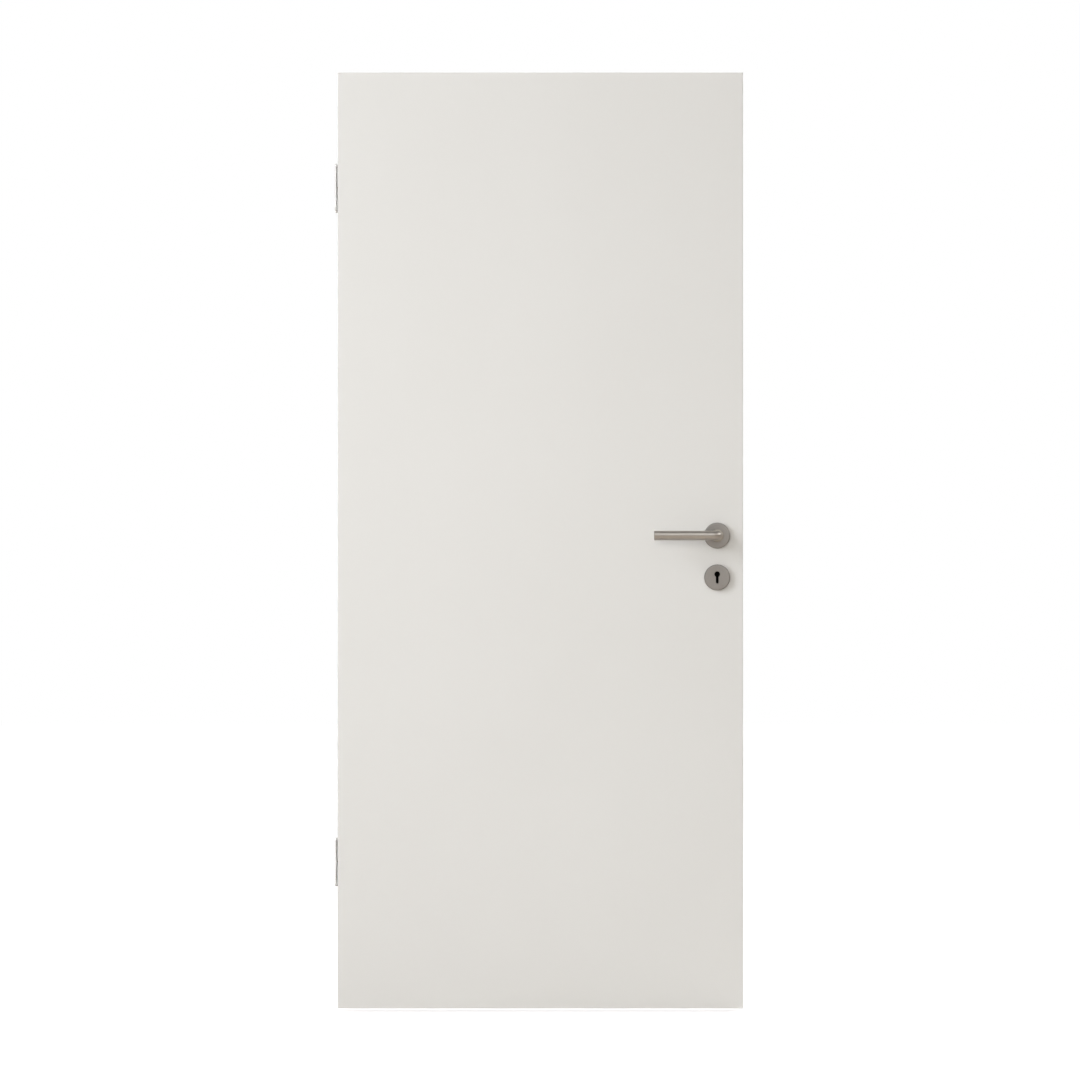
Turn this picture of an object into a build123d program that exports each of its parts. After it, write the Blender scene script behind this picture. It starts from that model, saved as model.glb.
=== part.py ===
from build123d import *
import math
import os

# A flush interior door leaf hung on two lift-off hinges, with a magnetic mortise lock, a round-bar
# lever on a round rosette on each face, and a round escutcheon with a warded keyhole below it.
# +X runs from the hinge edge to the lock edge, +Y from the front face to the rear face, +Z is up.
# The origin is the centre of the back face of the lower hinge's frame plate, which screws to a frame.

# Door leaf
leaf_width = 860.0
leaf_height = 1985.0
leaf_thickness = 40.0
skin_thickness = 3.0
edge_band_thickness = 2.0
arris_radius = 1.5
stile_width = 40.0
top_rail_height = 45.0
bottom_rail_height = 60.0
lock_block_width = 75.0
lock_block_height = 340.0
core_tube_radius = 11.0
core_tube_pitch = 31.0

# Hinges
upper_hinge_drop = 241.0
lower_hinge_height = 309.0
hinge_gap = 3.0
hinge_height = 100.0
hinge_plate_thickness = 3.0
hinge_plate_width = 30.0
hinge_corner_radius = 6.0
knuckle_radius = 5.0
knuckle_standoff = 0.5
knuckle_cap = 4.0
pin_radius = 3.0
pin_running_clearance = 0.08
pin_end_clearance = 1.0
pin_button_height = 3.0
washer_thickness = 1.6
washer_running_clearance = 0.1
hinge_screw_spacing_y = 15.0
hinge_screw_spacing_z = 70.0
frame_hole_radius = 2.5
door_hole_radius = 2.3
countersink_radius = 4.5
screw_head_radius = 4.3
screw_shank_radius = 2.2
hinge_screw_length = 30.0
recess_width = 1.1
recess_span = 4.6
recess_depth = 1.6

# Lock and its face plate in the lock edge
backset = 55.0
spindle_height = 1003.0
key_axis_drop = 82.0
forend_width = 20.0
forend_length = 235.0
forend_thickness = 3.0
forend_screw_inset = 12.0
forend_screw_length = 25.0
case_thickness = 16.0
case_behind_spindle = 26.0
case_to_screw = 14.5
mortise_clearance = 1.0
tumbler_thickness = 3.0
follower_radius = 9.0
follower_running_clearance = 0.1
bolt_running_clearance = 0.3
bolt_thickness = 11.0
bolt_corner_radius = 1.5
latch_height = 36.0
latch_depth = 28.0
latch_above_spindle = 4.0
dead_bolt_height = 32.0
dead_bolt_depth = 34.0
dead_bolt_below_key = 14.0

# Lever handles
bar_radius = 10.0
lever_length = 135.0
bar_standoff = 48.0
elbow_radius = 12.0
bar_end_radius = 1.2
neck_start = 1.0
neck_running_clearance = 0.1
neck_ring_radius = 13.4
neck_ring_proud = 5.0
neck_ring_edge_radius = 2.8
spindle_width = 8.0
spindle_clearance = 0.05
spindle_reach = 30.0
spindle_end_clearance = 0.5
set_screw_radius = 2.5
set_screw_standoff = 20.0
set_screw_inset = 0.8
set_screw_key = 2.5
set_screw_key_depth = 2.5

# Rosettes and escutcheons
rosette_radius = 27.5
rosette_thickness = 8.0
rosette_edge_radius = 3.0
keyhole_radius = 6.0
keyhole_slot_width = 5.5
keyhole_height = 25.5
keyhole_bevel = 0.4
keyhole_margin = 1.0
spindle_hole_radius = 11.5

# Places that follow from the sizes above
x_hinge_edge = hinge_plate_thickness + hinge_gap
x_lock_edge = x_hinge_edge + leaf_width
y_rear = hinge_plate_width / 2
y_front = y_rear - leaf_thickness
y_middle = (y_front + y_rear) / 2
z_bottom = -lower_hinge_height
z_top = z_bottom + leaf_height
z_upper_hinge = z_top - upper_hinge_drop
x_swing_axis = hinge_plate_thickness + hinge_gap / 2
y_swing_axis = y_rear + knuckle_standoff + knuckle_radius
x_spindle = x_lock_edge - backset
z_spindle = z_bottom + spindle_height
z_key = z_spindle - key_axis_drop
z_escutcheon = z_key + keyhole_radius - keyhole_height / 2
z_forend = (z_spindle + z_key) / 2
case_depth = backset + case_behind_spindle - forend_thickness
x_case_front = x_lock_edge - forend_thickness
x_case_back = x_case_front - case_depth
case_half_height = forend_length / 2 - forend_screw_inset - case_to_screw
z_latch = z_spindle + latch_above_spindle
z_dead_bolt = z_key - dead_bolt_below_key
hinge_places = {"lower": 0.0, "upper": z_upper_hinge}
faces = {"front": (y_front, -1), "rear": (y_rear, 1)}
overrun = 1.0


def block(low, high):
    """A box between two opposite corners."""
    size = [b - a for a, b in zip(low, high)]
    centre = [(a + b) / 2 for a, b in zip(low, high)]
    return Pos(*centre) * Box(*size)


def rod(start, end, radius):
    """A round bar between two points."""
    line = Vector(*end) - Vector(*start)
    return extrude(Plane(origin=start, z_dir=line) * Circle(radius), line.length)


def through_y(outline, x, z, y_from, y_to):
    """An outline drawn on the face, as seen from the front, cut from y_from to y_to."""
    flat = Plane(origin=(x, y_from, z), x_dir=(1, 0, 0), z_dir=(0, -1, 0))
    return extrude(flat * outline, y_from - y_to)


def into_edge(outline, x, z, depth):
    """An outline drawn on the lock edge, with its height along its own Y, sunk towards -X."""
    flat = Plane(origin=(x, y_middle, z), x_dir=(0, 1, 0), z_dir=(1, 0, 0))
    return extrude(flat * outline, -depth)


def keyhole(margin=0.0):
    """The keyhole's outline about the key's axis: a round hole with a round-ended slot below it."""
    half_slot = keyhole_slot_width / 2 + margin
    slot_foot = keyhole_radius - keyhole_height + keyhole_slot_width / 2
    slot = Pos(0, slot_foot / 2) * Rectangle(2 * half_slot, -slot_foot)
    return Circle(keyhole_radius + margin) + slot + Pos(0, slot_foot) * Circle(half_slot)


def countersunk_screw(length):
    """A countersunk screw with a cross recess, its head flush at Z 0 and its shank towards -Z."""
    head_depth = screw_head_radius - screw_shank_radius
    head = Pos(0, 0, -head_depth / 2) * Cone(screw_shank_radius, screw_head_radius, head_depth)
    shank = Pos(0, 0, -length / 2) * Cylinder(screw_shank_radius, length)
    slot = Box(recess_span, recess_width, 2 * recess_depth)
    return head + shank - slot - Rot(0, 0, 90) * slot


def countersunk_hole(radius, thickness):
    """The hole that such a screw passes, countersunk at Z 0 and clear past a plate's thickness."""
    cone_depth = countersink_radius - radius
    cone = Pos(0, 0, -cone_depth / 2) * Cone(radius, countersink_radius, cone_depth)
    return cone + Pos(0, 0, -thickness / 2) * Cylinder(radius, thickness + 2 * overrun)


def hinge_screw_places(z):
    """The four screw centres of a hinge plate, as Y and Z."""
    half_y = hinge_screw_spacing_y / 2
    half_z = hinge_screw_spacing_z / 2
    return [(y, z + dz) for y in (-half_y, half_y) for dz in (-half_z, half_z)]


def hinge_plate(x_low, z):
    """A hinge plate with its two far corners rounded, as the routed mortise for it is."""
    half = hinge_height / 2
    plate = block((x_low, -y_rear, z - half), (x_low + hinge_plate_thickness, y_rear, z + half))
    far_corners = plate.edges().filter_by(Axis.X).sort_by(Axis.Y)[:2]
    return fillet(far_corners, hinge_corner_radius)


def knuckle(x_low, z_from, z_to):
    """A barrel on the swing axis, with the strip that joins it to its plate."""
    barrel = rod((x_swing_axis, y_swing_axis, z_from), (x_swing_axis, y_swing_axis, z_to), knuckle_radius)
    strip = block((x_low, y_rear, z_from), (x_low + hinge_plate_thickness, y_swing_axis, z_to))
    return barrel + strip


def hinge_door_plate(z):
    """The half that lifts off with the leaf: a plate in the edge and a blind barrel above."""
    top = z + hinge_height / 2
    foot = z + washer_thickness / 2 + washer_running_clearance
    barrel = knuckle(x_hinge_edge, foot, top)
    bore = rod(
        (x_swing_axis, y_swing_axis, foot - overrun),
        (x_swing_axis, y_swing_axis, top - knuckle_cap),
        pin_radius + pin_running_clearance,
    )
    half = hinge_plate(x_hinge_edge, z) + barrel - bore
    hole = Rot(0, -90, 0) * countersunk_hole(door_hole_radius, hinge_plate_thickness)
    for y, screw_z in hinge_screw_places(z):
        half -= Pos(x_hinge_edge, y, screw_z) * hole
    return half


def hinge_frame_plate(z):
    """The half that stays on the frame: a plate and the lower barrel, which holds the pin."""
    foot = z - hinge_height / 2
    top = z - washer_thickness / 2
    barrel = knuckle(0, foot, top)
    bore = rod(
        (x_swing_axis, y_swing_axis, foot - overrun),
        (x_swing_axis, y_swing_axis, top + overrun),
        pin_radius,
    )
    half = hinge_plate(0, z) + barrel - bore
    hole = Rot(0, 90, 0) * countersunk_hole(frame_hole_radius, hinge_plate_thickness)
    for y, screw_z in hinge_screw_places(z):
        half -= Pos(hinge_plate_thickness, y, screw_z) * hole
    return half


def hinge_pin(z):
    """The pin, pressed into the frame plate's barrel, with a button under it."""
    foot = z - hinge_height / 2
    tip = z + hinge_height / 2 - knuckle_cap - pin_end_clearance
    axis_foot = (x_swing_axis, y_swing_axis, foot)
    shaft = rod(axis_foot, (x_swing_axis, y_swing_axis, tip), pin_radius)
    shaft = chamfer(shaft.edges().sort_by(Axis.Z)[-1], pin_radius / 4)
    button = rod((x_swing_axis, y_swing_axis, foot - pin_button_height), axis_foot, knuckle_radius)
    button = fillet(button.edges().sort_by(Axis.Z)[0], pin_button_height / 2)
    return shaft + button


def hinge_washer(z):
    """The bearing washer on the pin between the two barrels."""
    half = washer_thickness / 2
    foot = (x_swing_axis, y_swing_axis, z - half)
    top = (x_swing_axis, y_swing_axis, z + half)
    return rod(foot, top, knuckle_radius) - rod(foot, top, pin_radius + pin_running_clearance)


def hinge_door_screws(z):
    """The four screws that hold the door plate to the hinge stile."""
    screw = Rot(0, -90, 0) * countersunk_screw(hinge_screw_length)
    return [Pos(x_hinge_edge, y, screw_z) * screw for y, screw_z in hinge_screw_places(z)]


def hinge_cutters():
    """What the hinges take out of the leaf: the plates' mortises and the screws' holes."""
    cutters = []
    for z in hinge_places.values():
        cutters.append(hinge_plate(x_hinge_edge, z))
        for y, screw_z in hinge_screw_places(z):
            tip = x_hinge_edge + hinge_screw_length
            cutters.append(rod((x_hinge_edge, y, screw_z), (tip, y, screw_z), screw_shank_radius))
    return cutters


def forend_screw_places():
    """The heights of the two screws at the ends of the lock's face plate."""
    reach = forend_length / 2 - forend_screw_inset
    return [z_forend - reach, z_forend + reach]


def forend_blank():
    """The outline of the lock's face plate, sunk flush into the lock edge."""
    outline = SlotOverall(forend_length, forend_width, rotation=90)
    return into_edge(outline, x_lock_edge, z_forend, forend_thickness)


def lock_cutters():
    """What the lock takes out of the leaf: face plate, case, screws, spindle hole and key way."""
    grown = mortise_clearance
    half = case_thickness / 2 + grown
    mortise = block(
        (x_case_back - grown, y_middle - half, z_forend - case_half_height - grown),
        (x_case_front, y_middle + half, z_forend + case_half_height + grown),
    )
    key_way = through_y(keyhole(keyhole_margin), x_spindle, z_key, y_rear + overrun, y_front - overrun)
    spindle_hole = rod(
        (x_spindle, y_front - overrun, z_spindle),
        (x_spindle, y_rear + overrun, z_spindle),
        spindle_hole_radius,
    )
    screws = [
        rod((x_lock_edge, y_middle, z), (x_lock_edge - forend_screw_length, y_middle, z), screw_shank_radius)
        for z in forend_screw_places()
    ]
    return [mortise, forend_blank(), key_way, spindle_hole, *screws]


def routed(piece):
    """A piece of the leaf with the hinges' and the lock's mortises and holes taken out."""
    box = piece.bounding_box()
    for cutter in hinge_cutters() + lock_cutters():
        if box.overlaps(cutter.bounding_box()):
            piece -= cutter
    return piece


def skin(y_low):
    """One of the two lacquered face boards."""
    low = (x_hinge_edge + edge_band_thickness, y_low, z_bottom)
    return routed(block(low, (x_lock_edge - edge_band_thickness, y_low + skin_thickness, z_top)))


def edge_band(x_low, outer_sign):
    """The lacquered band along a long edge, its two outer arrises eased."""
    band = block((x_low, y_front, z_bottom), (x_low + edge_band_thickness, y_rear, z_top))
    outer = band.edges().filter_by(Axis.Z).group_by(Axis.X)[-1 if outer_sign > 0 else 0]
    return routed(fillet(outer, min(arris_radius, 0.9 * edge_band_thickness)))


def inner_block(x_low, x_high, z_low, z_high):
    """A block between the two skins."""
    low = (x_low, y_front + skin_thickness, z_low)
    return block(low, (x_high, y_rear - skin_thickness, z_high))


x_inner_hinge = x_hinge_edge + edge_band_thickness + stile_width
x_inner_lock = x_lock_edge - edge_band_thickness - stile_width
z_inner_bottom = z_bottom + bottom_rail_height
z_inner_top = z_top - top_rail_height


def lock_block():
    """The solid block beside the lock stile that the lock case and the handles need."""
    half = lock_block_height / 2
    return inner_block(x_inner_lock - lock_block_width, x_inner_lock, z_forend - half, z_forend + half)


def core():
    """The chipboard core, lightened by a row of upright tubes, notched for the lock block."""
    slab = inner_block(x_inner_hinge, x_inner_lock, z_inner_bottom, z_inner_top)
    width = x_inner_lock - x_inner_hinge
    count = int((width - core_tube_pitch / 2) // core_tube_pitch)
    first = (x_inner_hinge + x_inner_lock - (count - 1) * core_tube_pitch) / 2
    for i in range(count):
        x = first + i * core_tube_pitch
        slab -= rod((x, y_middle, z_inner_bottom), (x, y_middle, z_inner_top), core_tube_radius)
    return routed(slab - lock_block())


def bolt_outline(height, clearance=0.0):
    """The rounded outline of a bolt as seen on the face plate, upright along its own Y."""
    corner = bolt_corner_radius + clearance
    return RectangleRounded(bolt_thickness + 2 * clearance, height + 2 * clearance, corner)


def bolt(height, z, depth, clearance=0.0):
    """A bolt, or the room for one, flush with the face plate and reaching into the case."""
    return into_edge(bolt_outline(height, clearance), x_lock_edge, z, depth + 2 * clearance)


def lock_forend():
    """The lock's face plate: a strip with round ends, two bolt openings and two screw holes."""
    plate = forend_blank()
    plate -= bolt(latch_height, z_latch, latch_depth, bolt_running_clearance)
    plate -= bolt(dead_bolt_height, z_dead_bolt, dead_bolt_depth, bolt_running_clearance)
    for z in forend_screw_places():
        hole = Rot(0, 90, 0) * countersunk_hole(door_hole_radius, forend_thickness)
        plate -= Pos(x_lock_edge, y_middle, z) * hole
    return plate


def lock_case():
    """The case behind the face plate, with the follower's bore, the key way and the bolts' rooms."""
    half = case_thickness / 2
    case = block(
        (x_case_back, y_middle - half, z_forend - case_half_height),
        (x_case_front, y_middle + half, z_forend + case_half_height),
    )
    follower_bore = rod(
        (x_spindle, y_middle - half - overrun, z_spindle),
        (x_spindle, y_middle + half + overrun, z_spindle),
        follower_radius + follower_running_clearance,
    )
    case -= follower_bore
    case -= bolt(latch_height, z_latch, latch_depth, bolt_running_clearance)
    case -= bolt(dead_bolt_height, z_dead_bolt, dead_bolt_depth, bolt_running_clearance)
    for side in (-1, 1):
        inner = y_middle + side * tumbler_thickness / 2
        outer = y_middle + side * (half + overrun)
        case -= through_y(keyhole(), x_spindle, z_key, max(inner, outer), min(inner, outer))
    return case


def forend_screws():
    """The two screws of the face plate."""
    screw = Rot(0, 90, 0) * countersunk_screw(forend_screw_length)
    return [Pos(x_lock_edge, y_middle, z) * screw for z in forend_screw_places()]


def lock_follower():
    """The hub in the case that the square spindle turns."""
    half = case_thickness / 2
    hub = rod(
        (x_spindle, y_middle - half, z_spindle),
        (x_spindle, y_middle + half, z_spindle),
        follower_radius,
    )
    width = spindle_width + 2 * spindle_clearance
    square = block(
        (x_spindle - width / 2, y_middle - half - overrun, z_spindle - width / 2),
        (x_spindle + width / 2, y_middle + half + overrun, z_spindle + width / 2),
    )
    return hub - square


def spindle():
    """The square bar through the lock that joins the two levers."""
    half = spindle_width / 2
    return block(
        (x_spindle - half, y_front - spindle_reach, z_spindle - half),
        (x_spindle + half, y_rear + spindle_reach, z_spindle + half),
    )


def rosette_blank(y_face, side, z):
    """A round cover plate on the face with a rounded outer rim."""
    y_out = y_face + side * rosette_thickness
    disc = rod((x_spindle, y_face, z), (x_spindle, y_out, z), rosette_radius)
    rims = disc.edges().filter_by(GeomType.CIRCLE).sort_by(Axis.Y)
    return fillet(rims[-1] if side > 0 else rims[0], rosette_edge_radius)


def rosette(y_face, side):
    """The lever's cover plate, bored for the neck ring."""
    bore = rod(
        (x_spindle, y_face - side * overrun, z_spindle),
        (x_spindle, y_face + side * (rosette_thickness + overrun), z_spindle),
        neck_ring_radius,
    )
    return rosette_blank(y_face, side, z_spindle) - bore


def neck_ring(y_face, side):
    """The bearing ring that stands out of the rosette and carries the lever's neck."""
    y_out = y_face + side * (rosette_thickness + neck_ring_proud)
    ring = rod((x_spindle, y_face, z_spindle), (x_spindle, y_out, z_spindle), neck_ring_radius)
    rims = ring.edges().filter_by(GeomType.CIRCLE).sort_by(Axis.Y)
    ring = fillet(rims[-1] if side > 0 else rims[0], neck_ring_edge_radius)
    bore_radius = bar_radius + neck_running_clearance
    bore = rod(
        (x_spindle, y_face - side * overrun, z_spindle),
        (x_spindle, y_out + side * overrun, z_spindle),
        bore_radius,
    )
    return ring - bore


def escutcheon(y_face, side):
    """The key's cover plate, with the keyhole through it."""
    y_out = y_face + side * rosette_thickness
    low, high = sorted((y_face - side * overrun, y_out + side * overrun))
    hole = through_y(keyhole(), x_spindle, z_key, high, low)
    plate = rosette_blank(y_face, side, z_escutcheon) - hole
    outer_face = plate.faces().sort_by(Axis.Y)[-1 if side > 0 else 0]
    return chamfer(outer_face.inner_wires()[0].edges(), keyhole_bevel)


def lever(y_face, side):
    """A round bar bent from the neck towards the hinge side, with a square socket for the spindle."""
    y_start = y_face + side * neck_start
    y_bar = y_face + side * bar_standoff
    x_end = x_spindle - lever_length
    path = FilletPolyline(
        (x_spindle, y_start, z_spindle),
        (x_spindle, y_bar, z_spindle),
        (x_end, y_bar, z_spindle),
        radius=elbow_radius,
    )
    start = Plane(origin=path @ 0, z_dir=path % 0)
    bar = sweep(start * Circle(bar_radius), path)
    free_end = bar.edges().filter_by(GeomType.CIRCLE).sort_by(Axis.X)[0]
    bar = fillet(free_end, bar_end_radius)
    half = spindle_width / 2 + spindle_clearance
    y_deep = y_face + side * (spindle_reach + spindle_end_clearance)
    low, high = sorted((y_start - side * overrun, y_deep))
    bar -= block((x_spindle - half, low, z_spindle - half), (x_spindle + half, high, z_spindle + half))
    y_screw = y_face + side * set_screw_standoff
    screw_hole = rod(
        (x_spindle, y_screw, z_spindle - bar_radius - overrun),
        (x_spindle, y_screw, z_spindle),
        set_screw_radius,
    )
    return bar - screw_hole


def set_screw(y_face, side):
    """The headless screw under the neck that grips the spindle, with a hexagon socket."""
    y_screw = y_face + side * set_screw_standoff
    z_foot = z_spindle - bar_radius + set_screw_inset
    z_tip = z_spindle - spindle_width / 2 - spindle_clearance
    screw = rod((x_spindle, y_screw, z_foot), (x_spindle, y_screw, z_tip), set_screw_radius)
    socket = extrude(
        Plane(origin=(x_spindle, y_screw, z_foot), z_dir=(0, 0, 1))
        * RegularPolygon(set_screw_key / math.sqrt(3), 6),
        set_screw_key_depth,
    )
    return screw - socket


def all_parts():
    """Every node of the assembly, by name."""
    hinge_stile = inner_block(x_hinge_edge + edge_band_thickness, x_inner_hinge, z_bottom, z_top)
    lock_stile = inner_block(x_inner_lock, x_lock_edge - edge_band_thickness, z_bottom, z_top)
    parts = {
        "front_skin": skin(y_front),
        "rear_skin": skin(y_rear - skin_thickness),
        "hinge_edge_band": edge_band(x_hinge_edge, -1),
        "lock_edge_band": edge_band(x_lock_edge - edge_band_thickness, 1),
        "hinge_stile": routed(hinge_stile),
        "lock_stile": routed(lock_stile),
        "top_rail": inner_block(x_inner_hinge, x_inner_lock, z_inner_top, z_top),
        "bottom_rail": inner_block(x_inner_hinge, x_inner_lock, z_bottom, z_inner_bottom),
        "lock_block": routed(lock_block()),
        "core": core(),
        "lock_forend": lock_forend(),
        "lock_case": lock_case(),
        "forend_screws": forend_screws(),
        "latch_bolt": bolt(latch_height, z_latch, latch_depth),
        "dead_bolt": bolt(dead_bolt_height, z_dead_bolt, dead_bolt_depth),
        "lock_follower": lock_follower(),
        "spindle": spindle(),
    }
    for name, (y_face, side) in faces.items():
        parts[f"{name}_rosette"] = rosette(y_face, side)
        parts[f"{name}_neck_ring"] = neck_ring(y_face, side)
        parts[f"{name}_escutcheon"] = escutcheon(y_face, side)
        parts[f"{name}_lever"] = lever(y_face, side)
        parts[f"{name}_set_screw"] = set_screw(y_face, side)
    for name, z in hinge_places.items():
        parts[f"{name}_hinge_door_plate"] = hinge_door_plate(z)
        parts[f"{name}_hinge_frame_plate"] = hinge_frame_plate(z)
        parts[f"{name}_hinge_pin"] = hinge_pin(z)
        parts[f"{name}_hinge_washer"] = hinge_washer(z)
        parts[f"{name}_hinge_screws"] = hinge_door_screws(z)
    return parts


os.makedirs("parts", exist_ok=True)
for name, shape in all_parts().items():
    solids = shape if isinstance(shape, list) else [shape]
    export_step(Compound(children=solids) if len(solids) > 1 else solids[0], f"parts/{name}.step")
    print(name, round(sum(s.volume for s in solids) / 1000, 2), "cm3")
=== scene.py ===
# %% [markdown]
# # An interior door leaf with lever handles
#
# The leaf is a flat white board, so its looks come from a few quiet things: the lacquer's fine
# texture, the eased edges, and the satin metal of the handles against it. The CAD pieces already
# have the real shapes, so the scene gives each of them its finish and adds only what is too fine
# for them: the threads and recesses of the screws.
#
# The frame is loaded first.

# %% Load the frame
import math

import bmesh
import bpy
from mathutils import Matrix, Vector


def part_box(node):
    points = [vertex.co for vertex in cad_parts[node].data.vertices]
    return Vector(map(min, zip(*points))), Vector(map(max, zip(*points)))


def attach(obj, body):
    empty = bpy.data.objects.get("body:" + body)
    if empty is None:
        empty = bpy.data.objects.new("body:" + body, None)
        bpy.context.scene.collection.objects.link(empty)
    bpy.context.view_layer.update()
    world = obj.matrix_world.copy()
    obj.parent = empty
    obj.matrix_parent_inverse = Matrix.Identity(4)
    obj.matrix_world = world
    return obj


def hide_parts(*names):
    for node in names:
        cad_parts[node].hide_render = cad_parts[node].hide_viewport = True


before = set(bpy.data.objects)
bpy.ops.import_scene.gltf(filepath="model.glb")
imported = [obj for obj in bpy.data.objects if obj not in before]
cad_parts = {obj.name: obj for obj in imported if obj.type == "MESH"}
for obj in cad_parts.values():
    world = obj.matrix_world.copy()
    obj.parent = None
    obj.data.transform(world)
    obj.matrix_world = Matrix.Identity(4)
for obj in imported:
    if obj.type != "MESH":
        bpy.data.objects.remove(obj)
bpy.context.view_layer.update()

print("nodes:", len(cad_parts))

# %% [markdown]
# ## Places read from the frame
#
# Every place below comes from a CAD node's box, so nothing is typed twice. The leaf is bounded by
# its two edge bands, and the handles turn about the centre of the spindle's box.

# %% Places
def middle(low, high):
    """The centre of a box."""
    return (Vector(low) + Vector(high)) / 2


leaf_low = Vector(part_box("hinge_edge_band")[0])
leaf_high = Vector(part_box("lock_edge_band")[1])
leaf_centre = middle(leaf_low, leaf_high)
leaf_size = leaf_high - leaf_low
spindle_centre = middle(*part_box("spindle"))
escutcheon_centre = middle(*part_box("front_escutcheon"))
print("leaf:", [round(v, 4) for v in leaf_size])
print("spindle:", [round(v, 4) for v in spindle_centre])
print("escutcheon:", [round(v, 4) for v in escutcheon_centre])

# %% [markdown]
# ## A short way to write node graphs
#
# Finishes, the world and the screws are all graphs of nodes. Written out in full, each node takes
# five lines, so this small class adds a node, sets its inputs and joins it in one call. The sums
# and patterns that come up again and again get a short name each.

# %% Node graphs
class Graph:
    """A node tree and short calls that add nodes to it."""

    def __init__(self, tree):
        self.tree = tree

    def add(self, kind, settings=(), **inputs):
        """Adds a node; an input given as a socket is linked and any other value is set."""
        node = self.tree.nodes.new(kind)
        for name, value in dict(settings).items():
            setattr(node, name, value)
        for name, value in inputs.items():
            self.feed(self.socket(node, name), value)
        return node

    def socket(self, node, name):
        """An input by its name, or by its place where the name is a letter and a number."""
        if name[1:].isdigit():
            return node.inputs[int(name[1:])]
        return node.inputs[name.replace("_", " ")]

    def feed(self, socket, value):
        """Links a socket's value or sets a plain one."""
        if isinstance(value, bpy.types.NodeSocket):
            self.tree.links.new(value, socket)
        else:
            socket.default_value = value

    def maths(self, operation, first, second=0.0, third=0.0):
        """One sum on numbers."""
        return self.add("ShaderNodeMath", {"operation": operation}, i0=first, i1=second, i2=third).outputs[0]

    def weighted(self, first, first_share, second, second_share):
        """Two numbers added up, each times its share."""
        return self.maths(
            "ADD", self.maths("MULTIPLY", first, first_share), self.maths("MULTIPLY", second, second_share)
        )

    def between(self, amount, low, high):
        """A number that runs from low to high as amount runs from 0 to 1."""
        return self.add(
            "ShaderNodeMapRange", Value=amount, i1=0.0, i2=1.0, i3=low, i4=high
        ).outputs[0]

    def vector(self, operation, first, second=(0.0, 0.0, 0.0)):
        """One sum on vectors."""
        return self.add("ShaderNodeVectorMath", {"operation": operation}, i0=first, i1=second).outputs[0]

    def length(self, vector):
        """How long a vector is."""
        return self.add("ShaderNodeVectorMath", {"operation": "LENGTH"}, i0=vector).outputs["Value"]

    def point(self, x=0.0, y=0.0, z=0.0):
        """A vector from three numbers."""
        return self.add("ShaderNodeCombineXYZ", X=x, Y=y, Z=z).outputs[0]

    def parts(self, vector):
        """The three numbers of a vector, called X, Y and Z."""
        return self.add("ShaderNodeSeparateXYZ", i0=vector).outputs

    def noise(self, place, scale=1.0, detail=2.0, roughness=0.5):
        """Soft noise from 0 to 1."""
        return self.add(
            "ShaderNodeTexNoise", Vector=place, Scale=scale, Detail=detail, Roughness=roughness
        ).outputs[0]

    def colours(self, amount, *stops):
        """A colour ramp through stops of (place, colour)."""
        node = self.add("ShaderNodeValToRGB", i0=amount)
        ramp = node.color_ramp
        while len(ramp.elements) < len(stops):
            ramp.elements.new(0.5)
        for element, (place, colour) in zip(ramp.elements, stops):
            element.position = place
            element.color = (*colour, 1.0)
        return node.outputs[0]

    def mixed(self, amount, first, second, blend="MIX"):
        """Two colours mixed: the first where amount is 0 and the second where it is 1."""
        return self.add(
            "ShaderNodeMix", {"data_type": "RGBA", "blend_type": blend}, i0=amount, i6=first, i7=second
        ).outputs[2]

# %% [markdown]
# ## What a finish is
#
# A finish is a graph that ends in one Principled shader. Its patterns read the place on the piece's
# own coordinates, in metres, so they keep their real size and turn with the piece when the door
# swings. Plain values are set on the shader's own sockets and only what varies is linked.

# %% Finishes
class Finish(Graph):
    """A material with its Principled shader and the place in the object that it reads."""

    def __init__(self, name, **values):
        self.material = bpy.data.materials.new(name)
        self.material.use_nodes = True
        super().__init__(self.material.node_tree)
        self.shader = self.tree.nodes["Principled BSDF"]
        self.place = self.add("ShaderNodeTexCoord").outputs["Object"]
        for name, value in values.items():
            self.feed(self.socket(self.shader, name), value)

    def stretched(self, scale):
        """The place in the object, scaled by a different amount along each axis."""
        return self.vector("MULTIPLY", self.place, scale)

    def bump(self, height, distance):
        """Raises the surface by a height in metres and hands the result to the shader."""
        node = self.add("ShaderNodeBump", Height=height, Distance=distance, Strength=1.0)
        self.feed(self.shader.inputs["Normal"], node.outputs[0])

    def close(self, **links):
        """Links sockets of the shader and gives back the material."""
        for name, value in links.items():
            self.feed(self.socket(self.shader, name), value)
        return self.material


def coat(material, *nodes):
    """Gives CAD nodes a material in all their slots."""
    for name in nodes:
        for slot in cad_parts[name].material_slots:
            slot.material = material
    print(material.name, "on", ", ".join(nodes))

# %% [markdown]
# ## White lacquer
#
# The leaf is sprayed or rolled with a satin lacquer over a filled board. Close up, such a film has
# a fine orange peel about 2 mm across and a very faint cloudiness, which keeps a large white face
# from looking like paper. Both are noise on the object's own coordinates: the peel raises the
# surface by about ten microns, and the cloud changes the colour by two percent at most.

# %% Lacquer
WHITE_LIGHT = (0.752, 0.737, 0.706)
WHITE_DARK = (0.738, 0.722, 0.690)
LACQUER_ROUGHNESS = (0.40, 0.48)
CLOUD_SCALE = 3.0
SPECK_SCALE = 900.0
PEEL_SCALE = 520.0
PEEL_HEIGHT = 0.000012


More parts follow.
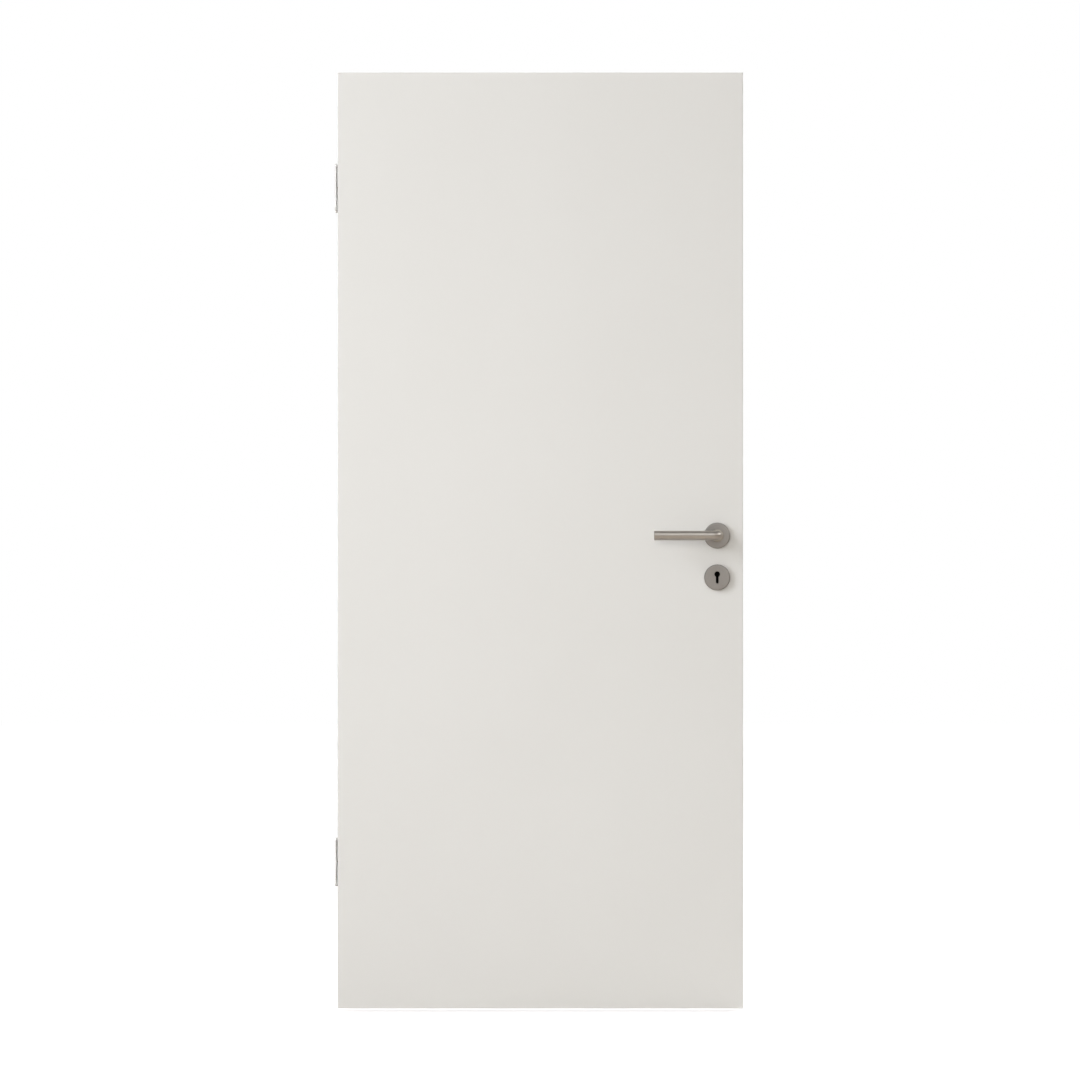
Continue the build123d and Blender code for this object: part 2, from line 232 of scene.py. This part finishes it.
def lacquer():
    """Satin lacquer with its orange peel and its cloudiness."""
    finish = Finish("white_lacquer", Specular_IOR_Level=0.42)
    cloud = finish.noise(finish.place, CLOUD_SCALE, detail=3.0)
    speck = finish.noise(finish.place, SPECK_SCALE, detail=1.0)
    tone = finish.weighted(cloud, 0.7, speck, 0.3)
    finish.bump(finish.noise(finish.place, PEEL_SCALE, roughness=0.4), PEEL_HEIGHT)
    return finish.close(
        Base_Color=finish.colours(tone, (0.30, WHITE_DARK), (0.70, WHITE_LIGHT)),
        Roughness=finish.between(cloud, *LACQUER_ROUGHNESS),
    )


coat(lacquer(), "front_skin", "rear_skin", "hinge_edge_band", "lock_edge_band")

# %% [markdown]
# ## Raw wood
#
# The leaf's top and bottom edges are left raw, as on doors that are trimmed on site. They show the
# end grain of the stiles and the long grain of the rails. Growth rings are distorted bands: a
# ring's colour changes fast one way and slowly the other, which a sawtooth wave gives. The fibres
# are noise stretched along the grain. Each rail is cut from another board, so it has its own
# material, whose rings lie about a heart near that rail.

# %% Raw wood
EARLY_WOOD = (0.70, 0.52, 0.32)
LATE_WOOD = (0.48, 0.30, 0.15)
RING_WIDTH = 0.0035
RING_SHARPNESS = 2.2
RING_WANDER = 0.02
WANDER_SCALE = 14.0
SQUEEZE_ALONG = 0.04
FIBRE_ALONG = 8.0
FIBRE_ACROSS = 1400.0
FIBRE_HEIGHT = 0.00015


def by_grain(along, with_grain, across_grain):
    """Three scales: one along the grain and another across it."""
    return [with_grain if axis == along else across_grain for axis in "XYZ"]


def softwood(name, along, heart):
    """Spruce with its grain along one axis and its rings about the tree's heart."""
    finish = Finish(name, Specular_IOR_Level=0.3)
    squeeze = by_grain(along, SQUEEZE_ALONG, 1.0)
    wander = finish.noise(finish.stretched(squeeze), WANDER_SCALE, detail=3.0)
    from_heart = finish.vector("MULTIPLY", finish.vector("SUBTRACT", finish.place, tuple(heart)), squeeze)
    bent = finish.maths("ADD", finish.length(from_heart), finish.maths("MULTIPLY", wander, RING_WANDER))
    ring = finish.maths("FRACT", finish.maths("DIVIDE", bent, RING_WIDTH))
    fibre = finish.noise(finish.stretched(by_grain(along, FIBRE_ALONG, FIBRE_ACROSS)), detail=3.0)
    tone = finish.weighted(finish.maths("POWER", ring, RING_SHARPNESS), 0.75, fibre, 0.35)
    finish.bump(fibre, FIBRE_HEIGHT)
    return finish.close(
        Base_Color=finish.colours(tone, (0.10, EARLY_WOOD), (0.95, LATE_WOOD)),
        Roughness=finish.between(fibre, 0.62, 0.82),
    )


upright_heart = leaf_centre + Vector((0.03, -0.06, 0.0))
coat(softwood("softwood_upright", "Z", upright_heart), "hinge_stile", "lock_stile", "lock_block")
heart_from_rail = Vector((0.0, 0.055, -0.060))
for rail in ("top_rail", "bottom_rail"):
    coat(softwood(rail + "_wood", "X", middle(*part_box(rail)) + heart_from_rail), rail)

# %% [markdown]
# ## Chipboard
#
# The core is pressed from chips. Seen from outside it lies behind the rails, so nobody sees it
# before the leaf is cut, but it gets its own finish all the same. Voronoi cells make the chips: each
# cell takes one of a few browns, and its distance makes the rough surface.

# %% Chipboard
CHIP_SCALE = 320.0
CHIP_HEIGHT = 0.0004
CHIP_BROWNS = [(0.0, (0.34, 0.22, 0.12)), (0.5, (0.56, 0.40, 0.24)), (1.0, (0.70, 0.55, 0.36))]


def chipboard():
    """Pressed chips: small cells of a few browns with a rough surface."""
    finish = Finish("chipboard", Specular_IOR_Level=0.3)
    flattened = finish.stretched((1.0, 1.0, 0.45))
    cells = finish.add("ShaderNodeTexVoronoi", Vector=flattened, Scale=CHIP_SCALE).outputs
    tone = finish.add("ShaderNodeSeparateColor", i0=cells["Color"]).outputs[0]
    finish.bump(cells["Distance"], CHIP_HEIGHT)
    return finish.close(
        Base_Color=finish.colours(tone, *CHIP_BROWNS), Roughness=finish.between(tone, 0.75, 0.90)
    )


coat(chipboard(), "core")

# %% [markdown]
# ## Satin metal
#
# The metal is brushed, not polished. Brushing leaves fine grooves, so the bump and the roughness
# are noise drawn out along them. What differs from piece to piece is the way the grooves run, so
# this helper takes a place that was already stretched along them, and makes the rest.

# %% Satin metal
GROOVE_PITCH = 0.00022
GROOVE_HEIGHT = 0.0000035
METAL_CLOUD_SCALE = 60.0


def satin(finish, grooves, dark, light, rough, **links):
    """Ends a metal whose grooves are noise on a place that was stretched along them."""
    groove = finish.noise(grooves, roughness=0.6)
    cloud = finish.noise(finish.place, METAL_CLOUD_SCALE, detail=3.0)
    tone = finish.weighted(groove, 0.6, cloud, 0.4)
    finish.bump(groove, GROOVE_HEIGHT)
    return finish.close(
        Base_Color=finish.colours(tone, (0.30, dark), (0.70, light)),
        Roughness=finish.between(groove, *rough), **links,
    )

# %% [markdown]
# ## Plates brushed in circles
#
# A rosette is brushed on a turning table. Its noise runs with the distance from the plate's centre,
# and hardly changes as it goes round. An anisotropic shader, whose tangent goes round the same
# centre, gives a reflection a different width along the grooves and across them.

# %% Plates
PLATE = ((0.305, 0.292, 0.277), (0.344, 0.330, 0.314))
# The neck ring is the plates' steel painted lighter and warmer: a painted highlight for the light its rounded
# edge catches.
NECK_RING_PAINTED_LIGHTER = ((0.400, 0.370, 0.325), (0.460, 0.430, 0.380))
CHANGE_ROUND = 2.5


def ring_brushed(name, centre, colours):
    """Grooves in circles about an axis along Y through the centre."""
    finish = Finish(name, Metallic=1.0, Anisotropic=0.5)
    out = finish.vector("MULTIPLY", finish.vector("SUBTRACT", finish.place, tuple(centre)), (1.0, 0.0, 1.0))
    way = finish.parts(finish.vector("NORMALIZE", out))
    depth = finish.parts(finish.place)["Y"]
    across = finish.maths("DIVIDE", finish.maths("ADD", finish.length(out), depth), GROOVE_PITCH)
    grooves = finish.point(
        x=across,
        y=finish.maths("MULTIPLY", way["X"], CHANGE_ROUND),
        z=finish.maths("MULTIPLY", way["Z"], CHANGE_ROUND),
    )
    tangent = finish.point(x=finish.maths("MULTIPLY", way["Z"], -1.0), z=way["X"])
    return satin(finish, grooves, *colours, rough=(0.44, 0.52), Tangent=tangent)


coat(ring_brushed("rosette_steel", spindle_centre, PLATE), "front_rosette", "rear_rosette")
coat(ring_brushed("neck_ring_steel", spindle_centre, NECK_RING_PAINTED_LIGHTER), "front_neck_ring", "rear_neck_ring")
coat(ring_brushed("escutcheon_steel", escutcheon_centre, PLATE), "front_escutcheon", "rear_escutcheon")

# %% [markdown]
# ## Bars brushed on a belt
#
# A bar is turned against a belt, so its grooves go round it and its noise runs along X. The light
# lines on a round bar lie along it anyway, and a plain shader keeps them clean at the bend.

# %% Bars
BAR = ((0.350, 0.325, 0.295), (0.410, 0.383, 0.350))
ROUND_BAR = (1 / GROOVE_PITCH, 90.0, 90.0)


def straight_brushed(name, dark, light, scale, rough):
    """Straight grooves, which lie along the axes whose scale is small."""
    finish = Finish(name, Metallic=1.0)
    return satin(finish, finish.stretched(scale), dark, light, rough)


coat(straight_brushed("lever_steel", *BAR, ROUND_BAR, (0.31, 0.37)), "front_lever", "rear_lever")

# %% [markdown]
# ## Lock and screws
#
# The lock's face plate is ground lengthwise and the small screws are zinc plated. The case behind
# the keyhole is near black: partly a dark coat and partly painted shade, so that the keyhole reads
# as a dark hole from any side.

# %% Lock
LENGTHWISE = (3500.0, 3500.0, 60.0)
TUMBLED = (2400.0, 2400.0, 1600.0)

forend_steel = straight_brushed(
    "forend_steel", (0.40, 0.39, 0.37), (0.50, 0.49, 0.47), LENGTHWISE, (0.28, 0.40)
)
zinc = straight_brushed("zinc_plate", (0.46, 0.47, 0.48), (0.60, 0.60, 0.59), TUMBLED, (0.22, 0.36))
coat(forend_steel, "lock_forend", "latch_bolt", "dead_bolt")
coat(zinc, "front_set_screw", "rear_set_screw", "spindle")


def case_paint():
    """Matt near-black with a faint grain: partly dark paint, partly painted shade for the keyhole."""
    finish = Finish("case_paint", Specular_IOR_Level=0.2)
    grain = finish.noise(finish.place, 1200.0)
    finish.bump(grain, 0.00004)
    return finish.close(
        Base_Color=finish.colours(grain, (0.2, (0.004, 0.004, 0.004)), (0.8, (0.010, 0.010, 0.010))),
        Roughness=finish.between(grain, 0.75, 0.90),
    )


# Painted shade: the near-black case and follower make the keyhole read dark.
coat(case_paint(), "lock_case", "lock_follower")

# %% [markdown]
# ## Hinges
#
# The hinge plates are coated white to go with the leaf. Their pins are satin nickel, and the washer
# that carries the leaf's weight between the barrels is brass.

# %% Hinges
def powder_coat(light, dark):
    """White powder coat on steel, with the fine orange peel of a sprayed and baked skin."""
    finish = Finish("hinge_coat", Specular_IOR_Level=0.45)
    peel = finish.noise(finish.place, 900.0, roughness=0.4)
    cloud = finish.noise(finish.place, 30.0, detail=3.0)
    finish.bump(peel, 0.00002)
    return finish.close(
        Base_Color=finish.colours(cloud, (0.30, dark), (0.70, light)),
        Roughness=finish.between(peel, 0.34, 0.42),
    )


hinge_coat = powder_coat((0.80, 0.79, 0.77), (0.77, 0.76, 0.735))
nickel = straight_brushed("hinge_steel", (0.40, 0.38, 0.36), (0.49, 0.47, 0.45), TUMBLED, (0.30, 0.40))
brass = straight_brushed("bearing_brass", (0.42, 0.29, 0.12), (0.55, 0.40, 0.19), TUMBLED, (0.28, 0.42))
for height in ("upper", "lower"):
    coat(hinge_coat, f"{height}_hinge_door_plate", f"{height}_hinge_frame_plate")
    coat(nickel, f"{height}_hinge_pin")
    coat(brass, f"{height}_hinge_washer")

# %% [markdown]
# ## Screws that Geometry Nodes make
#
# Ten countersunk wood screws hold the hinges and the lock. A screw repeats and its thread follows a
# path, so Geometry Nodes suit it. This class holds what any such tree needs: named inputs for its
# sizes, an end that turns instances into a mesh with a material, and a call that runs the tree on a
# set of points and keeps only the plain mesh.

# %% A tree that makes shapes
class Maker(Graph):
    """A geometry node tree with named inputs for its sizes."""

    def __init__(self, name, **sizes):
        super().__init__(bpy.data.node_groups.new(name, "GeometryNodeTree"))
        self.ports = {}
        self.tree.interface.new_socket("Geometry", in_out="OUTPUT", socket_type="NodeSocketGeometry")
        self.tree.interface.new_socket("Geometry", in_out="INPUT", socket_type="NodeSocketGeometry")
        for size, kind in sizes.items():
            port = self.tree.interface.new_socket(size, in_out="INPUT", socket_type=kind)
            self.ports[size] = port.identifier
        self.given = self.add("NodeGroupInput").outputs

    def moved(self, shape, **changes):
        """A shape moved, turned or scaled."""
        return self.add("GeometryNodeTransform", i0=shape, **changes).outputs[0]

    def close(self, shape, material):
        """Ends the tree: instances become mesh and the mesh gets its material."""
        real = self.add("GeometryNodeRealizeInstances", i0=shape).outputs[0]
        coated = self.add("GeometryNodeSetMaterial", Geometry=real, Material=material).outputs[0]
        self.add("NodeGroupOutput", i0=coated)

    def make(self, name, points, **sizes):
        """Runs the tree on a set of points and gives back an object with the plain mesh."""
        cloud = bpy.data.meshes.new(name + "_points")
        cloud.from_pydata(points, [], [])
        piece = bpy.data.objects.new(name, cloud)
        bpy.context.scene.collection.objects.link(piece)
        modifier = piece.modifiers.new(name, "NODES")
        modifier.node_group = self.tree
        for size, value in sizes.items():
            modifier[self.ports[size]] = value
        finished = piece.evaluated_get(bpy.context.evaluated_depsgraph_get())
        mesh = bpy.data.meshes.new_from_object(finished)
        piece.modifiers.remove(modifier)
        piece.data = mesh
        bpy.data.meshes.remove(cloud)
        return piece

# %% [markdown]
# ## The head's cross recess
#
# A cross recess narrows towards its bottom, so that a screwdriver's tip seats in it. It is cut with
# two crossed blades. A cone with four sides, turned by 45 degrees and squeezed flat, is such a
# blade: its taper comes from the cone's two radii, and it reaches past the head for a clean cut.

# %% Cones and recess blades
ROUND = 40
RECESS_SPAN = 0.0046
RECESS_WIDTH = 0.0011
RECESS_DEPTH = 0.0016
RECESS_TAPER = 0.6
BLADE_LENGTH = 1.5


def cone(maker, bottom, top, height, sides=ROUND):
    """A cone or frustum that stands on Z 0."""
    return maker.add(
        "GeometryNodeMeshCone", Vertices=sides, Radius_Top=top, Radius_Bottom=bottom, Depth=height
    ).outputs["Mesh"]


def recess_blade(maker, turn):
    """One arm pair of the cross recess: a square frustum squeezed to the recess's span and width."""
    corner = math.sqrt(2)
    widening = (1 - RECESS_TAPER) * (BLADE_LENGTH - 1)
    square = maker.moved(
        cone(maker, corner * RECESS_TAPER, corner * (1 + widening), RECESS_DEPTH * BLADE_LENGTH, 4),
        Rotation=(0, 0, math.radians(45)),
    )
    return maker.moved(
        square, Translation=(0, 0, -RECESS_DEPTH), Scale=(RECESS_SPAN / 2, RECESS_WIDTH / 2, 1),
        Rotation=(0, 0, turn),
    )

# %% [markdown]
# ## One screw
#
# The head is a frustum with the recess cut out of it. Below it come a straight core and a pointed
# tip. The thread is a spiral curve as high as the core, and a small diamond swept along it gives
# its sharp ridge. The finished screw stands on every point and looks the way it is told to.

# %% Screw tree
SHANK_RADIUS = 0.0022
THREAD_HEIGHT = 0.0006
THREAD_PITCH = 0.0020
TIP_LENGTH = 0.0040
TIP_RADIUS = 0.0002


def screw_tree():
    number = "NodeSocketFloat"
    maker = Maker("screws", Head_Radius=number, Length=number, Facing="NodeSocketVector")
    points, head_radius, length, facing = list(maker.given)[:4]
    core_radius = SHANK_RADIUS - THREAD_HEIGHT
    head_depth = maker.maths("SUBTRACT", head_radius, SHANK_RADIUS)
    below = maker.point(z=maker.maths("MULTIPLY", head_depth, -1.0))
    head = maker.moved(cone(maker, SHANK_RADIUS, head_radius, head_depth), Translation=below)
    cut = maker.add("GeometryNodeMeshBoolean", {"operation": "DIFFERENCE"}, i0=head)
    for turn in (0.0, math.radians(90)):
        maker.feed(cut.inputs[1], recess_blade(maker, turn))
    shank = maker.maths("SUBTRACT", maker.maths("SUBTRACT", length, head_depth), TIP_LENGTH)
    at_tip = maker.point(z=maker.maths("SUBTRACT", TIP_LENGTH, length))
    at_end = maker.point(z=maker.maths("MULTIPLY", length, -1.0))
    core = maker.moved(cone(maker, core_radius, core_radius, shank), Translation=at_tip)
    tip = maker.moved(cone(maker, TIP_RADIUS, core_radius, TIP_LENGTH), Translation=at_end)
    turns = maker.maths("DIVIDE", shank, THREAD_PITCH)
    path = maker.add(
        "GeometryNodeCurveSpiral", Resolution=ROUND // 2, Rotations=turns,
        Start_Radius=core_radius, End_Radius=core_radius, Height=shank,
    ).outputs[0]
    upright = maker.add("GeometryNodeSetCurveNormal", {"mode": "Z_UP"}, i0=path).outputs[0]
    diamond = maker.add("GeometryNodeCurvePrimitiveCircle", Resolution=4, Radius=THREAD_HEIGHT).outputs[0]
    ridge = maker.add("GeometryNodeCurveToMesh", i0=upright, Profile_Curve=diamond, Fill_Caps=True).outputs[0]
    thread = maker.moved(ridge, Translation=at_tip)
    screw = maker.add("GeometryNodeJoinGeometry")
    for piece in (cut.outputs[0], core, tip, thread):
        maker.feed(screw.inputs[0], piece)
    turned = maker.add("FunctionNodeAlignRotationToVector", {"axis": "Z"}, Vector=facing).outputs[0]
    placed = maker.add(
        "GeometryNodeInstanceOnPoints", Points=points, Instance=screw.outputs[0], Rotation=turned
    ).outputs[0]
    maker.close(placed, zinc)
    return maker


screws = screw_tree()
print("screw tree:", len(screws.tree.nodes), "nodes")

# %% [markdown]
# ## Screws in their places
#
# The CAD has plain screws where these go. Its boxes give the places, the length and the width of
# the head, so the threaded screws fill the same holes, and each set replaces its CAD node.

# %% Screws in their places
forend_low, forend_high = (Vector(corner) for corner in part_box("forend_screws"))
screw_head = (forend_high.y - forend_low.y) / 2


def fit_screws(node, faces):
    """Puts screws where a node has them: one for each corner of its box, with the heads on one side."""
    low, high = (Vector(corner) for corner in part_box(node))
    x = high.x if faces > 0 else low.x
    across = sorted({round(low.y + screw_head, 5), round(high.y - screw_head, 5)})
    up = (low.z + screw_head, high.z - screw_head)
    places = [(x, y, z) for y in across for z in up]
    piece = screws.make(
        "threaded_" + node, places, Head_Radius=screw_head, Length=high.x - low.x, Facing=(faces, 0.0, 0.0)
    )
    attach(piece, "door_leaf")
    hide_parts(node)
    print(piece.name, len(places), "screws,", len(piece.data.polygons), "faces")


fit_screws("lower_hinge_screws", -1.0)
fit_screws("upper_hinge_screws", -1.0)
fit_screws("forend_screws", 1.0)

# %% [markdown]
# ## Camera
#
# The photograph shows no perspective on the leaf, so the camera stands far back with a long lens.
# Its frame is 2.29 m across at the leaf's front face, which puts the leaf at the photograph's size,
# and it stands about a millimetre off the leaf's centre, as the photograph does.

# %% Camera
CAMERA_DISTANCE = 9.0
CAMERA_ASIDE = -0.0006
CAMERA_UP = 0.0011
FRAME_WIDTH = 2.2905
SENSOR = 36.0

camera_data = bpy.data.cameras.new("camera")
camera_data.sensor_width = SENSOR
camera_data.lens = SENSOR * CAMERA_DISTANCE / FRAME_WIDTH
camera_data.clip_end = 60.0
camera = bpy.data.objects.new("camera", camera_data)
camera.location = (leaf_centre.x + CAMERA_ASIDE, leaf_low.y - CAMERA_DISTANCE, leaf_centre.z + CAMERA_UP)
camera.rotation_euler = (math.radians(90), 0, 0)
bpy.context.scene.collection.objects.link(camera)
bpy.context.scene.camera = camera
print("lens:", round(camera_data.lens, 1))

# %% [markdown]
# ## Panels of light
#
# Paint shows a lamp by the light and shadow that it throws, and metal by its mirror image, and the
# two ask for lamps in different places. So each panel lights either paint or metal, by its switches
# for diffuse and glossy rays. The rear face gets the same panels, turned half a circle for paint
# and mirrored for metal, so that both sides of the door look alike.

# %% Panels
def panel(name, place, way, width, height, spread, power, tint, lights):
    """A soft panel that faces along a direction and is hidden from the camera."""
    data = bpy.data.lights.new(name, "AREA")
    data.shape = "RECTANGLE"
    data.size = width
    data.size_y = height
    data.spread = math.radians(spread)
    data.energy = power
    data.color = tint
    light = bpy.data.objects.new(name, data)
    light.location = place
    light.rotation_euler = way.to_track_quat("-Z", "Y").to_euler()
    light.visible_camera = False
    light.visible_diffuse = lights != "metal"
    light.visible_glossy = lights != "paint"
    bpy.context.scene.collection.objects.link(light)
    print(name, "at", [round(v, 2) for v in place], "for", lights)


def pair(name, place, aim, tilt, width, height, spread, power, lights, tint=(1.0, 1.0, 1.0)):
    """The same panel before and behind the leaf: turned half a circle for paint, mirrored for metal."""
    for side, turn in (("front", 1), ("rear", -1)):
        across = turn if lights == "paint" else 1
        stand = Vector((place[0] * across, place[1] * turn, place[2]))
        level = Vector((aim * across - stand.x, -stand.y, 0.0)).normalized()
        way = level * math.cos(tilt) - Vector((0.0, 0.0, math.sin(tilt)))
        panel(f"{side}_{name}", leaf_centre + stand, way, width, height, spread, power, tint, lights)

# %% [markdown]
# ## Light on paint
#
# A shadow tells where a light stands and how large it is. The handle's shadow falls to the right
# and a little down, dark beside the neck and very faint under the bar, so the key is a tall soft
# panel far to the left. A fill near the camera keeps the leaf even. The shadow is also a little
# browner than the leaf round it, so the key is slightly cool and the rest slightly warm, and where
# they meet they add up to white.

# %% Light on paint
COOL = (0.96, 1.00, 1.07)
WARM = (1.02, 1.00, 0.965)
KEY = {
    "place": (-4.02, -2.27, 1.80), "aim": 0.22, "tilt": 0.33,
    "width": 1.85, "height": 4.45, "spread": 60, "power": 33.6,
}
FILL = {
    "place": (-1.57, -6.45, 1.20), "aim": -0.10, "tilt": 0.15,
    "width": 2.0, "height": 2.0, "spread": 90, "power": 24.0,
}
pair("key", **KEY, lights="paint", tint=COOL)
pair("fill", **FILL, lights="paint", tint=WARM)

# %% [markdown]
# ## Light in metal
#
# The metal sees the key as well, as a sheen from the left. A strip high in front draws the light
# line along the bar, and one at the right carries that line round the elbow. Both are wide and
# throw light every way, because a curved bar mirrors them from many sides.

# %% Light in metal
STRIP = {
    "place": (1.2, -5.0, 3.9), "aim": 1.2, "tilt": 0.66,
    "width": 6.0, "height": 1.5, "spread": 180, "power": 72.0,
}
SIDE = {
    "place": (6.0, -1.2, 3.3), "aim": 0.4, "tilt": 0.50,
    "width": 4.0, "height": 1.8, "spread": 180, "power": 60.0,
}
pair("sheen", **KEY, lights="metal")
pair("strip", **STRIP, lights="metal")
pair("side", **SIDE, lights="metal")

# %% [markdown]
# ## World
#
# The world gives even light from all round. The camera sees it pure white, as the photograph's
# background is. A reflection sees a studio: white at the horizon, darker overhead, and warmer and
# darker to the right. That is what draws the bar's dark upper edge and the plates' darker rims at
# the right.

# %% World
AMBIENT = 0.465
ABOVE_TO_BELOW = [
    (0.00, (0.40, 0.34, 0.27)), (0.30, (0.62, 0.56, 0.50)), (0.47, (0.90, 0.88, 0.86)),
    (0.56, (1.00, 1.00, 1.00)), (0.74, (0.85, 0.85, 0.85)), (0.90, (0.42, 0.41, 0.40)),
]
LEFT_TO_RIGHT = [(0.60, (1.00, 1.00, 1.00)), (0.85, (0.50, 0.46, 0.42)), (1.00, (0.40, 0.36, 0.32))]
WHITE = (1.0, 1.0, 1.0, 1.0)


def world_light():
    """One world that the camera, reflections and plain light each see in their own way."""
    world = bpy.data.worlds.new("world")
    world.use_nodes = True
    graph = Graph(world.node_tree)
    graph.tree.nodes.clear()
    way = graph.parts(graph.add("ShaderNodeTexCoord").outputs["Generated"])
    up = graph.maths("MULTIPLY_ADD", way["Z"], 0.5, 0.5)
    across = graph.maths("MULTIPLY_ADD", way["X"], 0.5, 0.5)
    studio = graph.mixed(
        1.0, graph.colours(up, *ABOVE_TO_BELOW), graph.colours(across, *LEFT_TO_RIGHT), "MULTIPLY"
    )
    rays = graph.add("ShaderNodeLightPath").outputs
    shown = graph.mixed(rays["Is Camera Ray"], studio, WHITE)
    sharp = graph.maths("MAXIMUM", rays["Is Glossy Ray"], rays["Is Transmission Ray"])
    seen = graph.maths("MAXIMUM", rays["Is Camera Ray"], sharp)
    dim = graph.add("ShaderNodeBackground", Color=(*WARM, 1.0), Strength=AMBIENT).outputs[0]
    bright = graph.add("ShaderNodeBackground", Color=shown).outputs[0]
    both = graph.add("ShaderNodeMixShader", i0=seen, i1=dim, i2=bright).outputs[0]
    graph.add("ShaderNodeOutputWorld", i0=both)
    return world


bpy.context.scene.world = world_light()
print("plain light from the world:", AMBIENT)

# %% [markdown]
# ## Floor
#
# The floor lies a few millimetres under the leaf, as under a hung door. It is white to the eye and
# keeps a faint shadow. In metal its glow is painted: a painted brown reflection, and near the leaf
# a painted shade, dark where the leaf would keep the light off it. The lower edge of the bar takes
# its brown tone from there.

# %% Floor
FLOOR_GAP = 0.007
FLOOR_REACH = 14.0
FLOOR_COLOUR = (0.62, 0.60, 0.57, 1.0)
FLOOR_TO_EYE = (0.72, 0.725, 0.75, 1.0)
# Painted reflection and painted shade: the floor's glow in metal, dark brown by the leaf, lighter brown
# further off.
PAINTED_FLOOR_IN_METAL = [(0.16, (0.06, 0.03, 0.012)), (0.42, (0.38, 0.30, 0.225))]
PAINTED_RAMP_REACH = 2.0


def floor_paint():
    """A matt floor that glows white to the camera, and in metal shows a painted brown with painted shade near
    the leaf.
    """
    finish = Finish("floor", Base_Color=FLOOR_COLOUR, Roughness=0.9, Specular_IOR_Level=0.0)
    rays = finish.add("ShaderNodeLightPath").outputs
    away = finish.maths("ABSOLUTE", finish.parts(finish.place)["Y"])
    # Painted shade: the glow seen in metal darkens towards the leaf.
    painted_in_metal = finish.colours(finish.maths("MULTIPLY", away, 1 / PAINTED_RAMP_REACH), *PAINTED_FLOOR_IN_METAL)
    return finish.close(
        Emission_Color=finish.mixed(rays["Is Camera Ray"], painted_in_metal, FLOOR_TO_EYE),
        Emission_Strength=finish.maths("MAXIMUM", rays["Is Camera Ray"], rays["Is Glossy Ray"]),
    )


floor_mesh = bpy.data.meshes.new("floor")
floor_shape = bmesh.new()
bmesh.ops.create_grid(floor_shape, x_segments=1, y_segments=1, size=FLOOR_REACH)
floor_shape.to_mesh(floor_mesh)
floor_shape.free()
floor_mesh.materials.append(floor_paint())
floor = bpy.data.objects.new("floor", floor_mesh)
floor.location = (leaf_centre.x, leaf_centre.y, leaf_low.z - FLOOR_GAP)
bpy.context.scene.collection.objects.link(floor)
print("floor at", round(floor.location.z, 4))

# %% [markdown]
# ## Close
#
# The view transform is the plain one, so that a colour renders as it is written.

# %% Close
bpy.context.scene.view_settings.view_transform = "Standard"
